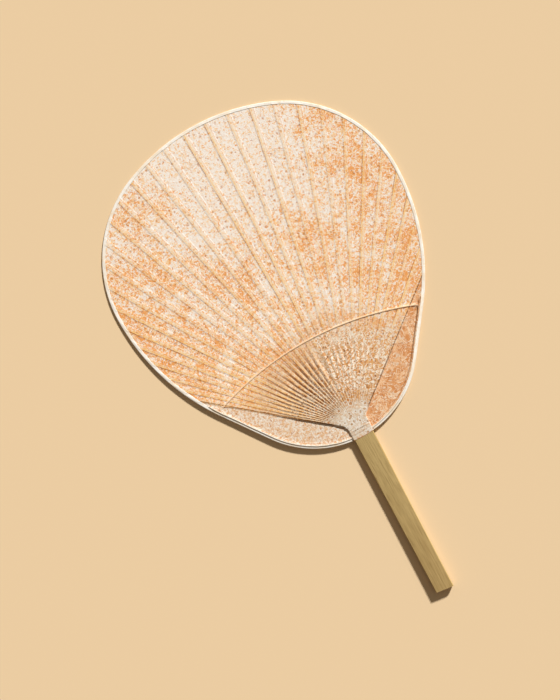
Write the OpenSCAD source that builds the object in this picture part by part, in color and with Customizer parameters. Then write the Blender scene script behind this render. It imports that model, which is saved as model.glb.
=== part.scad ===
// Round uchiwa fan: a strip of bamboo split into ribs, spread by a bow and a thread between two paper sheets.
// +Y runs from the handle to the top of the face, +Z out of the front, and the handle's back lies on Z = 0.

/* [Face] */
// Widest width of the face, rim strip included
face_w = 223.3; // [215:0.1:268]
// Height of the face, from its bottom edge at the neck to its top
face_h = 247.7; // [206:0.1:260]
// Radius of the top edge
top_r = 146; // [138:1:160]
// Radius of the shoulders beside the top edge
shoulder_r = 88.8; // [80:0.1:95]
// Radius of the bottom edge, which the bow follows
bottom_r = 72.1; // [64:0.1:80]
// Height above the bottom edge at which the straight lower sides end
waist_top = 60.2; // [54:0.1:68]
// Height of the middle plane of the face above the back of the handle
face_z = 3.4; // [3.2:0.1:3.6]

/* [Handle] */
// Length of the bare handle, from the bottom edge of the face to its end
handle_l = 121.3; // [80:0.1:160]
// Width of the handle at the neck
neck_w = 15; // [14:0.1:18]
// Width of the handle at its end
end_w = 13.3; // [10:0.1:18]
// Thickness of the handle at its crown
handle_t = 5; // [4.9:0.1:7]
// Radius of the bamboo's rounded skin side, across the handle
crown_r = 90; // [60:1:150]
// Bevel along both front edges of the handle
edge_bevel = 0.7; // [0.3:0.1:1]
// Slant of the sawn end, in degrees from square
end_slant = 5.4; // [0:0.1:10]
// Sideways place of the handle's middle at the neck
handle_x = 0.35; // [-1:0.05:1]
// Lean of the handle away from the middle line of the face, in degrees
handle_lean = 1; // [0:0.1:2]
// Length of bare handle over which the back is pared down towards the ribs
paring_l = 14; // [8:1:30]
// Height of the bamboo's node ridge above the skin
node_rise = 0.12; // [0.05:0.01:0.2]

/* [Ribs] */
// Number of ribs left of the middle
ribs_left = 16; // [12:1:18]
// Number of ribs right of the middle
ribs_right = 14; // [10:1:15]
// Thickness of a rib
rib_t = 0.38; // [0.3:0.01:0.4]
// Height above the bottom edge at which the strip is split into ribs
split_y = 8; // [7:0.1:10]
// Sideways place of the gap between the left and right ribs, at the split
split_x = -0.3; // [-1:0.1:1]
// Height above the bottom edge of the point that the spread ribs aim away from
fan_y = 6.7; // [6:0.1:8]
// Sideways place of that point
fan_x = -0.8; // [-1.5:0.1:1]
// Distance from that point at which a rib has turned into its own direction
bend_r = 14; // [12:0.5:16]
// Gap left along the thread between the left tie and the outermost rib
margin_left = 5.9; // [4:0.1:10]
// Gap left along the thread between the right tie and the outermost rib
margin_right = 7.5; // [4:0.1:10]
// How much wider than even the left ribs are spaced near the middle
bias_left = 0.065; // [-0.1:0.005:0.1]
// The same for the right ribs
bias_right = -0.078; // [-0.1:0.005:0.1]
// Distance from the edge of the face at which the ribs end
rib_inset = 1.6; // [1:0.1:4]

/* [Bow] */
// Radius of the bow's round rod
bow_r = 0.8; // [0.65:0.01:0.96]
// Distance of the bow's middle line from the edge of the face
bow_inset = 2.4; // [2.3:0.1:3.5]
// Clearance round the bow in the hole through the neck
bow_clear = 0.08; // [0.05:0.01:0.15]
// How far the left tie sits along the bow past its straight stretch
tie_past_left = 2.7; // [2.4:0.1:6]
// The same for the right tie
tie_past_right = 0.4; // [0.2:0.1:6]
// Length of the whittled point of the bow past the notch
tip_l = 3; // [2:0.1:4]
// Depth of the notch that the tie sits in
notch_depth = 0.3; // [0.2:0.05:0.35]
// Width of the notch along the bow
notch_w = 2.4; // [1.6:0.1:3]

/* [Thread] */
// Diameter of each of the two strands
strand_d = 0.4; // [0.3:0.01:0.5]
// Rise of the thread's arc above the line between its ties
thread_rise = 14.7; // [8:0.1:22]
// Radius of the knot beside the bow
knot_r = 0.6; // [0.4:0.05:0.65]

/* [Paper] */
// Thickness of each sheet of paper
paper_t = 0.15; // [0.1:0.01:0.25]
// Width of the rim strip on each side of the face
strip_w = 2.3; // [1.5:0.1:3]
// Thickness of the rim strip
strip_t = 0.12; // [0.08:0.01:0.2]
// Clearance kept between glued or touching pieces
gap = 0.05; // [0.03:0.01:0.06]

/* [Hidden] */
$fn = 48;
crown_fn = 180;

// The outline is the same on both sides: bottom arc, straight waist, side arc, shoulder arc and top arc.
// A direction is an angle in degrees from +X, and each arc's centre is the same for every inset.
bottom_c = [0, bottom_r];
top_c = [0, face_h - top_r];
shoulder_x = face_w / 2 - shoulder_r;
shoulder_c = [shoulder_x, top_c.y + sqrt(pow(top_r - shoulder_r, 2) - pow(shoulder_x, 2))];
shoulder_dir = atan2(shoulder_c.y - top_c.y, shoulder_c.x - top_c.x);

// The side arc reaches the widest width, and the straight side below it also touches the bottom arc: the miss
// is how far off that a direction of the straight side's normal is, and it falls as the direction turns down.
function side_radius(a) = (shoulder_c.y - waist_top) / -sin(a);
function miss(a) =
    let (r = side_radius(a))
    (face_w / 2 - r) * cos(a) + (shoulder_c.y - bottom_c.y) * sin(a) - bottom_r + r;
function settle(low, high, turns) =
    let (a = (low + high) / 2)
    turns == 0 ? a : miss(a) > 0 ? settle(low, a, turns - 1) : settle(a, high, turns - 1);
waist_dir = settle(-80, -15, 40);
waist_n = [cos(waist_dir), sin(waist_dir)];
waist_along = [-waist_n.y, waist_n.x];
side_r = side_radius(waist_dir);
side_c = [face_w / 2 - side_r, shoulder_c.y];
waist_l = (side_c - bottom_c) * waist_along;
bow_side_r = side_r - bow_inset;
function tie_dir(past) = waist_dir + past / bow_side_r * 180 / PI;
tip_dir = tie_dir(max(tie_past_left, tie_past_right) + notch_w / 2 + tip_l + 2 * gap);

// The sheets part round the handle between these two half widths, measured at the bottom edge.
neck_half = neck_w / 2 + abs(handle_x) + 0.7;
drop_w = 1.3;

// Steps along each stretch of one half of the outline, and the step just past the tip of the bow
bottom_steps = 9;
waist_steps = 4;
side_steps = 9;
shoulder_steps = 9;
top_steps = 6;
tip_index = 3 + bottom_steps + waist_steps;
half_steps = tip_index + side_steps + shoulder_steps + top_steps;

function on_arc(c, r, a) = c + r * [cos(a), sin(a)];
function mix(a, b, t) = a + (b - a) * t;
function clamp01(t) = max(0, min(1, t));
function smooth(t) = let (u = clamp01(t)) u * u * (3 - 2 * u);
function flip(p) = [-p.x, p.y];

// Direction from the bottom arc's centre at which the edge of the face is x to the right of the middle
function bottom_dir(x) = -acos(x / bottom_r);

// Points of the right half of the outline, moved in by inset, from the neck up to just before the top
function right_half(inset) =
    let (rb = bottom_r - inset, low = bottom_dir(neck_half + drop_w))
    concat(
        [for (x = [0, neck_half]) on_arc(bottom_c, rb, bottom_dir(x))],
        [for (i = [0 : bottom_steps - 1]) on_arc(bottom_c, rb, mix(low, waist_dir, i / bottom_steps))],
        [for (i = [0 : waist_steps - 1])
            on_arc(bottom_c, rb, waist_dir) + waist_along * waist_l * i / waist_steps],
        [on_arc(side_c, side_r - inset, waist_dir)],
        [for (i = [0 : side_steps - 1])
            on_arc(side_c, side_r - inset, mix(tip_dir, 0, i / side_steps))],
        [for (i = [0 : shoulder_steps - 1])
            on_arc(shoulder_c, shoulder_r - inset, mix(0, shoulder_dir, i / shoulder_steps))],
        [for (i = [0 : top_steps - 1]) on_arc(top_c, top_r - inset, mix(shoulder_dir, 90, i / top_steps))]
    );

// The whole outline, counter-clockwise from the neck
function outline(inset) =
    let (half = right_half(inset))
    concat(half, [[0, face_h - inset]], [for (i = [half_steps - 1 : -1 : 1]) flip(half[i])]);

loop_n = 2 * half_steps;
edge = outline(0);

// The bow follows the outline at its inset, and each tie sits on the side arc.
tie_right = on_arc(side_c, bow_side_r, tie_dir(tie_past_right));
tie_left = flip(on_arc(side_c, bow_side_r, tie_dir(tie_past_left)));
bow_sag = (bottom_r - bow_inset) * (1 - cos(asin(neck_half / (bottom_r - bow_inset))));
bore_y = bow_inset + bow_sag / 2;
bore_r = bow_r + bow_sag / 2 + bow_clear;
notch_r = bow_r - notch_depth;

// The thread's arc runs from knot to knot. Its axis points from the arc's centre to the middle of the arc.
chord = tie_right - tie_left;
chord_l = norm(chord);
arc_axis = [-chord.y, chord.x] / chord_l;
arc_r = (pow(chord_l / 2, 2) + pow(thread_rise, 2)) / (2 * thread_rise);
arc_c = (tie_left + tie_right) / 2 - arc_axis * (arc_r - thread_rise);
function arc_out(a) = let (side = [arc_axis.y, -arc_axis.x]) arc_axis * cos(a) + side * sin(a);
function arc_at(a) = arc_c + arc_r * arc_out(a);
tie_angle = asin(chord_l / 2 / arc_r);
knot_in = (bow_r + 0.7 * knot_r) / arc_r * 180 / PI;
knot_angle = tie_angle - knot_in;

// The ribs are numbered from the left, and each one crosses the thread's arc at its own angle.
rib_n = ribs_left + ribs_right;
fan = [fan_x, fan_y];
function spread(k, n, reach, bias) = let (u = k / (n - 0.5)) reach * u * (1 + bias * (1 - u));
function rib_across(i) =
    i < ribs_left
        ? -spread(ribs_left - i - 0.5, ribs_left, chord_l / 2 - margin_left, bias_left)
        : spread(i - ribs_left + 0.5, ribs_right, chord_l / 2 - margin_right, bias_right);
function rib_angle(i) = asin(rib_across(i) / arc_r);
function rib_way(i) = let (d = arc_at(rib_angle(i)) - fan) d / norm(d);

// At the split each rib has an equal share of its side of the strip, in the handle's own frame.
split_half = neck_w / 2 - 0.15;
function root_x(i) =
    i < ribs_left
        ? split_x - (ribs_left - i - 0.5) * (split_half + split_x) / ribs_left
        : split_x + (i - ribs_left + 0.5) * (split_half - split_x) / ribs_right;
function crown_z(x) = handle_t - crown_r + sqrt(crown_r * crown_r - x * x);
function rib_w(i) = 2 * (crown_z(root_x(i)) - face_z - gap);
function handle_turn(p) =
    let (s = sin(-handle_lean), c = cos(handle_lean)) [handle_x + p.x * c - p.y * s, p.x * s + p.y * c];
half_neck_t = handle_t - face_z;
pared_z = face_z - half_neck_t + gap;

// A rib stands on edge as far as bend_r and lies flat just before the lowest point of the thread's arc.
flat_r = norm(arc_at(0) - fan) - 3;
function twist(r) = 90 * (1 - smooth((r - bend_r) / (flat_r - bend_r)));
function rib_half(r) = let (a = twist(r)) (half_neck_t - gap) * sin(a) + rib_t / 2 * cos(a);

// Distance along a ray to the edge of the face at an inset
function cross2(a, b) = a.x * b.y - a.y * b.x;
function ray_to(way, loop) =
    max([for (j = [0 : len(loop) - 1])
        let (a = loop[j], b = loop[(j + 1) % len(loop)], d = b - a, q = cross2(way, d))
        let (t = abs(q) < 1e-9 ? 0 : cross2(a - fan, d) / q)
        let (u = abs(q) < 1e-9 ? 2 : cross2(a - fan, way) / q)
        u >= 0 && u <= 1 ? t : 0]);

function bezier(a, b, c, d, t) =
    a * pow(1 - t, 3) + b * 3 * t * pow(1 - t, 2) + c * 3 * t * t * (1 - t) + d * pow(t, 3);

// Places of a rib's rings: two in the neck, four round the bend, then the twist and the end at the rim
root_in = 1.5;
bend_rings = 4;
twist_rings = 7;
bend_pull = 3.5;
rib_ends = outline(rib_inset);
function rib_path(i) =
    let (way = rib_way(i), root = handle_turn([root_x(i), split_y]), up = [0, 1])
    let (turned = fan + way * bend_r)
    concat(
        [root - up * root_in, root],
        [for (k = [1 : bend_rings])
            bezier(root, root + up * bend_pull, turned - way * bend_pull, turned, k / bend_rings)],
        [for (k = [1 : twist_rings]) fan + way * mix(bend_r, flat_r, k / twist_rings)],
        [fan + way * ray_to(way, rib_ends)]
    );

// A solid from rings of points, closed at both ends
function ring_faces(rings, sides) =
    concat(
        [for (k = [1 : sides - 2]) [0, k, k + 1]],
        [for (j = [0 : rings - 2], k = [0 : sides - 1])
            let (a = j * sides + k, b = j * sides + (k + 1) % sides)
            each [[a, a + sides, b], [b, a + sides, b + sides]]],
        [for (k = [1 : sides - 2]) let (o = (rings - 1) * sides) [o, o + k + 1, o + k]]
    );

module rib(i) {
    path = rib_path(i);
    n = len(path);
    lean = i < ribs_left ? 1 : -1;
    points = [for (j = [0 : n - 1])
        let (d = path[min(j + 1, n - 1)] - path[max(j - 1, 0)], t = d / norm(d), across = [-t.y, t.x])
        let (a = twist(norm(path[j] - fan)), s = cos(a) * lean, c = sin(a))
        let (wide = rib_w(i) / 2 * [across.x * s, across.y * s, c])
        let (thick = rib_t / 2 * [across.x * c, across.y * c, -s])
        each [for (q = [[1, 1], [1, -1], [-1, -1], [-1, 1]])
            [path[j].x, path[j].y, face_z] + wide * q.x + thick * q.y]];
    polyhedron(points = points, faces = ring_faces(n, 4), convexity = 4);
}

module in_handle() {
    translate([handle_x, 0, 0]) rotate([0, 0, -handle_lean]) children();
}

// Everything is drawn from the bottom edge of the face, then moved so that its box is centred on X = Y = 0.
end_drop = end_w / 2 * tan(end_slant);
end_y = -(handle_l + end_drop) * cos(handle_lean) - end_w / 2 * sin(handle_lean);
middle_y = (face_h + end_y) / 2;
module placed() {
    translate([0, -middle_y, 0]) children();
}

module handle_plan() {
    polygon([
        [-neck_w / 2, split_y], [-neck_w / 2, 0],
        [-end_w / 2, -handle_l + end_drop], [end_w / 2, -handle_l - end_drop],
        [neck_w / 2, 0], [neck_w / 2, split_y]
    ]);
}

// Side view: thickness against length, flat on the back and pared down at the neck
module handle_side() {
    far = handle_l + end_drop + 1;
    polygon([[-far, 0], [-paring_l, 0], [split_y, pared_z], [split_y, handle_t + 1], [-far, handle_t + 1]]);
}

module handle_bevel(side) {
    edge_angle = atan2((neck_w - end_w) / 2, handle_l);
    width = edge_bevel * sqrt(2);
    translate([side * neck_w / 2, 0, crown_z(neck_w / 2)]) rotate([0, 0, -side * edge_angle])
        rotate([0, 45, 0]) cube([width, 2 * handle_l + 20, width], center = true);
}

module node_ridge() {
    ridge_r = 0.6;
    ridge_y = split_y - 1.6;
    intersection() {
        translate([0, ridge_y, handle_t - crown_r]) rotate([90, 0, 0]) rotate_extrude($fn = crown_fn)
            translate([crown_r + node_rise - ridge_r, 0]) circle(r = ridge_r, $fn = 24);
        translate([-neck_w / 2, 0, pared_z + 1]) cube([neck_w, split_y, handle_t]);
    }
}

module neck_and_handle() {
    long = handle_l + end_drop + split_y + 4;
    difference() {
        intersection() {
            linear_extrude(handle_t + 1) handle_plan();
            rotate([90, 0, 90]) translate([0, 0, -neck_w]) linear_extrude(2 * neck_w) handle_side();
            translate([0, split_y + 2, handle_t - crown_r]) rotate([90, 0, 0])
                cylinder(r = crown_r, h = long, $fn = crown_fn);
        }
        for (side = [-1, 1]) handle_bevel(side);
    }
    node_ridge();
}

module split_bamboo() color([0.73, 0.64, 0.42]) placed() {
    difference() {
        in_handle() neck_and_handle();
        translate([0, bore_y, face_z]) rotate([0, 90, 0])
            cylinder(r = bore_r, h = 3 * neck_w, center = true);
    }
    for (i = [0 : rib_n - 1]) rib(i);
}

// The bow's rings on the right half, neck to tip: arc centre, arc radius, direction and rod radius
bow_steps = 12;
bow_sides = 12;
notch_step = 0.05;
function bow_half(past) =
    let (deg = 180 / PI / bow_side_r, tie = tie_dir(past), half = notch_w / 2 * deg, step = notch_step * deg)
    concat(
        [for (i = [1 : bow_steps])
            [bottom_c, bottom_r - bow_inset, mix(-90, waist_dir, i / bow_steps), bow_r]],
        [for (q = [[waist_dir, bow_r], [tie - half, bow_r], [tie - half + step, notch_r],
                [tie + half - step, notch_r], [tie + half, bow_r],
                [tie + half + tip_l * deg, bow_r / 2]])
            [side_c, bow_side_r, q[0], q[1]]]
    );
function mirrored(q) = [flip(q[0]), q[1], 180 - q[2], q[3]];

// Where the tie sits on the right side of the bow, with +Z along the bow towards its tip
module at_tie(past) {
    p = on_arc(side_c, bow_side_r, tie_dir(past));
    translate([p.x, p.y, face_z]) rotate([0, 0, tie_dir(past)]) rotate([-90, 0, 0]) children();
}

module bow() color([0.85, 0.72, 0.46]) placed() {
    left = bow_half(tie_past_left);
    n = len(left);
    stations = concat(
        [for (i = [n - 1 : -1 : 0]) mirrored(left[i])],
        [[bottom_c, bottom_r - bow_inset, -90, bow_r]],
        bow_half(tie_past_right)
    );
    points = [for (q = stations)
        let (p = on_arc(q[0], q[1], q[2]), out = on_arc([0, 0], 1, q[2]))
        each [for (k = [0 : bow_sides - 1])
            let (a = -360 * k / bow_sides)
            [p.x + out.x * q[3] * cos(a), p.y + out.y * q[3] * cos(a), face_z + q[3] * sin(a)]]];
    polyhedron(points = points, faces = ring_faces(len(stations), bow_sides), convexity = 6);
}

// Each strand goes over one rib and under the next, and turns once round the other strand in between.
// The steps are shares of the way from rib to rib, and the hold keeps a strand level until the first of them.
strand_steps = [0, 0.34, 0.5, 0.66];
strand_hold = 2.1;
strand_sides = 6;
knot_spread = 0.6;
over = rib_t / 2 + gap + strand_d / 2;
beside = strand_d / 2 + gap;
stations = concat([-knot_angle], [for (i = [0 : rib_n - 1]) rib_angle(i)], [knot_angle]);
function strand_at(phase, turn) =
    let (j = min(floor(turn), rib_n), a = mix(stations[j], stations[j + 1], turn - j))
    let (wave = 180 * turn + phase, out = mix(knot_spread, 1, clamp01(min(turn, rib_n + 1 - turn) * 3)))
    let (lift = over * out * max(-1, min(1, strand_hold * cos(wave))), aside = beside * out * sin(wave))
    let (p = arc_at(a) + arc_out(a) * aside)
    [p.x, p.y, face_z + lift];

module strand(phase) {
    path = concat(
        [for (j = [0 : rib_n], q = strand_steps) strand_at(phase, j + q)],
        [strand_at(phase, rib_n + 1)]
    );
    n = len(path);
    points = [for (j = [0 : n - 1])
        let (d = path[min(j + 1, n - 1)] - path[max(j - 1, 0)], t = d / norm(d))
        let (u = cross(t, [0, 0, 1]) / norm(cross(t, [0, 0, 1])), v = cross(u, t))
        each [for (k = [0 : strand_sides - 1])
            let (a = -360 * k / strand_sides) path[j] + strand_d / 2 * (u * cos(a) + v * sin(a))]];
    polyhedron(points = points, faces = ring_faces(n, strand_sides), convexity = 10);
}

// The turns of thread that fill the notch
module tie_turns() {
    long = notch_w - 2 * gap;
    difference() {
        cylinder(r = bow_r, h = long, center = true, $fn = bow_sides);
        cylinder(r = notch_r + gap, h = notch_w + 1, center = true, $fn = bow_sides);
    }
}

module knot(a) {
    p = arc_at(a);
    translate([p.x, p.y, face_z]) sphere(r = knot_r, $fn = bow_sides);
}

module weaving_thread() color([0.93, 0.84, 0.76]) placed() {
    strand(0);
    strand(180);
    at_tie(tie_past_right) tie_turns();
    mirror([1, 0, 0]) at_tie(tie_past_left) tie_turns();
    for (side = [-1, 1]) knot(side * knot_angle);
}

// Both sheets share one grid: rings from a middle point out to the bow and thread, then on to the edge.
grid_c = [0, 0.5 * arc_at(0).y];
inner_rings = 6;
outer_rings = 4;
rim_half = rib_t / 2 + gap;
bow_half_t = bow_r + 2 * gap;
thread_half_t = over + strand_d / 2 + 2 * gap;
ramp_w = 10;
paper_inset = strip_t + gap;
paper_edge = outline(paper_inset);
bow_line = outline(bow_inset);
last_tip = loop_n - tip_index;
function held_at(j) =
    j <= tip_index || j >= last_tip
        ? bow_line[j]
        : arc_at(mix(tie_angle, -tie_angle, (j - tip_index) / (last_tip - tip_index)));
function in_neck(j) = j <= 1 || j == loop_n - 1;
function by_thread(j) = j > tip_index + 1 && j < last_tip - 1;

// How far a point lies outside the outermost ribs
function outside(p, i, side) = let (way = rib_way(i)) side * cross2(p - fan, way);
function past_ribs(p) = max(outside(p, rib_n - 1, 1), outside(p, 0, -1));

// Half thickness of what lies under the sheets at a point
function under(p) =
    let (r = norm(p - fan), sunk = smooth((past_ribs(p) - 9) / 9))
    mix(max(rib_half(r), rim_half), rim_half, sunk) + gap;

// Side view of the pared back, as a depth below the middle plane
function pared_depth(y) = face_z - max(0, mix(0, pared_z, (y + paring_l) / (split_y + paring_l)));

// Half thickness of the gap between the sheets at the bow or thread, and at the edge, on either side
function neck_hold(front, y) = front ? half_neck_t + gap + node_rise : pared_depth(y) + gap;
function hold_half(j, front) =
    in_neck(j)
        ? neck_hold(front, held_at(j).y)
        : max(by_thread(j) ? thread_half_t : bow_half_t, under(held_at(j)));
function edge_half(j, front) = in_neck(j) ? neck_hold(front, paper_edge[j].y) : rim_half;

function inner_point(j, a, front) =
    let (p = mix(grid_c, held_at(j), a), rise = node_rise * smooth((25 - norm(p - fan)) / 10))
    [p.x, p.y, a == 1 ? hold_half(j, front) : under(p) + rise];
function outer_point(j, d, front) =
    let (f = held_at(j), e = paper_edge[j], l = norm(e - f), p = mix(f, e, d / l))
    let (fall = clamp01(d / min(ramp_w, l)))
    [p.x, p.y, mix(hold_half(j, front), edge_half(j, front), fall)];
function outer_at(j, k) =
    let (l = norm(paper_edge[j] - held_at(j)), near = min(ramp_w, 0.3 * l), far = l - min(strip_w, 0.3 * l))
    k == outer_rings ? l : mix(near, far, (k - 1) / (outer_rings - 2));

function sheet_rings(front) =
    concat(
        [for (k = [1 : inner_rings]) [for (j = [0 : loop_n - 1]) inner_point(j, k / inner_rings, front)]],
        [for (k = [1 : outer_rings]) [for (j = [0 : loop_n - 1]) outer_point(j, outer_at(j, k), front)]]
    );

// A sheet between its inner face, at half thickness h from the middle plane, and its outer face
module sheet(front) {
    side = front ? 1 : -1;
    rings = sheet_rings(front);
    m = len(rings);
    n = loop_n;
    mid = [grid_c.x, grid_c.y, under(grid_c)];
    flat = concat([mid], [for (ring = rings) each ring]);
    size = len(flat);
    points = concat(
        [for (p = flat) [p.x, p.y, face_z + side * p.z]],
        [for (p = flat) [p.x, p.y, face_z + side * (p.z + paper_t)]]
    );
    skin = concat(
        [for (j = [0 : n - 1]) [0, 1 + j, 1 + (j + 1) % n]],
        [for (k = [0 : m - 2], j = [0 : n - 1])
            let (a = 1 + k * n + j, b = 1 + k * n + (j + 1) % n)
            each [[a, a + n, b + n], [a, b + n, b]]]
    );
    wall = [for (j = [0 : n - 1])
        let (a = 1 + (m - 1) * n + j, b = 1 + (m - 1) * n + (j + 1) % n)
        each [[a, a + size, b + size], [a, b + size, b]]];
    faces = concat(skin, [for (f = skin) [f[0] + size, f[2] + size, f[1] + size]], wall);
    turned = front ? faces : [for (f = faces) [f[0], f[2], f[1]]];
    polyhedron(points = points, faces = turned, convexity = 6);
}

module front_paper() color([0.95, 0.89, 0.81]) placed() sheet(true);

module back_paper() color([0.93, 0.87, 0.79]) placed() sheet(false);

// The strip's section is a V or U open towards the face. It runs from one side of the handle to the other.
strip_first = 2;
strip_in = outline(strip_w);
function leg_at(j) =
    let (l = norm(paper_edge[j] - held_at(j)))
    outer_point(j, max(0, l - strip_w + paper_inset), true).z + paper_t + gap;
function leg_half(j) =
    max([for (i = [j - 1 : j + 1]) leg_at(max(strip_first, min(loop_n - strip_first, i)))]);
function strip_ring(j) =
    let (o = edge[j], e = outline(strip_t)[j], w = strip_in[j], h = rim_half + paper_t + gap, g = leg_half(j))
    let (t = strip_t, z = face_z)
    [
        [w.x, w.y, z - g - t], [o.x, o.y, z - h - t], [o.x, o.y, z + h + t], [w.x, w.y, z + g + t],
        [w.x, w.y, z + g], [e.x, e.y, z + h], [e.x, e.y, z - h], [w.x, w.y, z - g]
    ];

module rim_strip() color([0.97, 0.94, 0.88]) placed() {
    rings = [for (j = [strip_first : loop_n - strip_first]) strip_ring(j)];
    n = len(rings);
    quads = [[0, 1, 6, 7], [1, 2, 5, 6], [2, 3, 4, 5]];
    ends = [for (q = quads) each [[q[0], q[1], q[2]], [q[0], q[2], q[3]]]];
    // Both walls of a leg are cut along the same corners, so that they stay apart where the leg twists.
    sides = [for (j = [0 : n - 2], k = [0 : 7])
        let (a = j * 8 + k, b = j * 8 + (k + 1) % 8)
        each k < 4 ? [[a, a + 8, b + 8], [a, b + 8, b]] : [[a, a + 8, b], [b, a + 8, b + 8]]];
    last = (n - 1) * 8;
    faces = concat(ends, sides, [for (f = ends) [f[0] + last, f[2] + last, f[1] + last]]);
    polyhedron(points = [for (r = rings) each r], faces = faces, convexity = 6);
}

split_bamboo();
bow();
weaving_thread();
front_paper();
back_paper();
rim_strip();
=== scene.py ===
import math

import bpy
import numpy as np
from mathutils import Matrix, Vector


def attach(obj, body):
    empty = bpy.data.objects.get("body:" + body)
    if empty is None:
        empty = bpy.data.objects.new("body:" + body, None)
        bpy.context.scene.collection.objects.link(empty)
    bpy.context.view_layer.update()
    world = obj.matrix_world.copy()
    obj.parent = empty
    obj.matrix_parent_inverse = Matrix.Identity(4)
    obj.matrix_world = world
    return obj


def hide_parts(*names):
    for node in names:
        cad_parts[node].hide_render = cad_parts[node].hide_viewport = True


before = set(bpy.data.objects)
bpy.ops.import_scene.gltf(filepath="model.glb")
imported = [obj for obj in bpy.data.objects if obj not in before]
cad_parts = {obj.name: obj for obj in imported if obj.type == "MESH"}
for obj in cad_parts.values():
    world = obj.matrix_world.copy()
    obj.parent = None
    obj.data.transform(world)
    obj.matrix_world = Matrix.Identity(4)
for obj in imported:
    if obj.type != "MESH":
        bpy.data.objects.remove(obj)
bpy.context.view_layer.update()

# ---- Sizes of the fan, in millimetres, measured from the bottom edge of the face, as the construction has them ----

FACE_W, FACE_H = 223.3, 247.7
TOP_R, SHOULDER_R, BOTTOM_R = 146.0, 88.8, 72.1
WAIST_TOP = 60.2
FACE_Z = 3.4
HANDLE_L, NECK_W, END_W, HANDLE_T = 121.3, 15.0, 13.3, 5.0
CROWN_R, END_SLANT = 90.0, math.radians(5.4)
HANDLE_X, HANDLE_LEAN = 0.35, math.radians(1)
PARING_L, NODE_RISE = 14.0, 0.12
RIBS_LEFT, RIBS_RIGHT = 16, 14
RIB_T, SPLIT_Y, SPLIT_X, SPLIT_MARGIN = 0.38, 8.0, -0.3, 0.15
FAN = np.array([-0.8, 6.7])
BEND_R, FLAT_BEFORE = 14.0, 3.0
MARGIN_LEFT, MARGIN_RIGHT = 5.9, 7.5
BIAS_LEFT, BIAS_RIGHT = 0.065, -0.078
BOW_R, BOW_INSET = 0.8, 2.4
TIE_PAST_LEFT, TIE_PAST_RIGHT, BOW_PAST_TIE = 2.7, 0.4, 3.5
THREAD_RISE, STRAND_D, KNOT_R = 14.7, 0.4, 0.6
PAPER_T, STRIP_W, STRIP_T, STRIP_CLEAR, GAP = 0.15, 2.3, 0.12, 1.1, 0.05

RIBS = RIBS_LEFT + RIBS_RIGHT
END_DROP = END_W / 2 * math.tan(END_SLANT)
END_Y = -(HANDLE_L + END_DROP) * math.cos(HANDLE_LEAN) - END_W / 2 * math.sin(HANDLE_LEAN)
MIDDLE_Y = (FACE_H + END_Y) / 2
PARED_Z = 2 * FACE_Z - HANDLE_T + GAP


def metres(x, y, z):
    """Points of the face in millimetres, as places in the fan's own frame in metres."""
    return np.column_stack([np.ravel(x), np.ravel(y) - MIDDLE_Y, np.ravel(z)]) / 1000


def smooth(t):
    t = np.clip(t, 0, 1)
    return t * t * (3 - 2 * t)


# ---- The outline of the face: bottom arc, straight waist, side arc, shoulder arc and top arc on each side ----

bottom_c = np.array([0, BOTTOM_R])
top_c = np.array([0, FACE_H - TOP_R])
shoulder_x = FACE_W / 2 - SHOULDER_R
shoulder_c = np.array([shoulder_x, top_c[1] + math.sqrt((TOP_R - SHOULDER_R) ** 2 - shoulder_x**2)])
shoulder_dir = math.atan2(shoulder_c[1] - top_c[1], shoulder_c[0] - top_c[0])


def side_radius(a):
    return (shoulder_c[1] - WAIST_TOP) / -math.sin(a)


def waist_miss(a):
    r = side_radius(a)
    return (FACE_W / 2 - r) * math.cos(a) + (shoulder_c[1] - BOTTOM_R) * math.sin(a) - BOTTOM_R + r


steep, shallow = math.radians(-80), math.radians(-15)
for _ in range(60):
    waist_dir = (steep + shallow) / 2
    if waist_miss(waist_dir) > 0:
        shallow = waist_dir
    else:
        steep = waist_dir
side_r = side_radius(waist_dir)
side_c = np.array([FACE_W / 2 - side_r, shoulder_c[1]])


def arc(centre, radius, start, end, count):
    a = np.linspace(start, end, count, endpoint=False)
    return centre + radius * np.column_stack([np.cos(a), np.sin(a)])


def outline(inset, fine=90):
    """The right half of the outline from the neck to the top, moved in by inset, and then the left half."""
    way = np.array([math.cos(waist_dir), math.sin(waist_dir)])
    low, high = bottom_c + (BOTTOM_R - inset) * way, side_c + (side_r - inset) * way
    half = np.vstack([
        arc(bottom_c, BOTTOM_R - inset, -math.pi / 2, waist_dir, fine),
        low + (high - low) * np.linspace(0, 1, max(fine // 6, 2), endpoint=False)[:, None],
        arc(side_c, side_r - inset, waist_dir, 0, fine),
        arc(shoulder_c, SHOULDER_R - inset, 0, shoulder_dir, fine),
        arc(top_c, TOP_R - inset, shoulder_dir, math.pi / 2, fine),
        [[0, FACE_H - inset]],
    ])
    return np.vstack([half, (half * [-1, 1])[-2:0:-1]])


def reach(loop):
    """How far a loop lies from the fan point, as a function of the direction, clockwise from straight up."""
    d = loop - FAN
    turn, far = np.arctan2(d[:, 0], d[:, 1]), np.hypot(d[:, 0], d[:, 1])
    order = np.argsort(turn)
    return lambda a: np.interp(a, turn[order], far[order], period=2 * math.pi)


PAPER_INSET = STRIP_T + GAP
edge_reach = reach(outline(PAPER_INSET))

# ---- The thread's arc between its two ties, the bow, and the direction of each rib ----

bow_side_r = side_r - BOW_INSET


def tie_point(past):
    a = waist_dir + past / bow_side_r
    return side_c + bow_side_r * np.array([math.cos(a), math.sin(a)])


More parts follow.
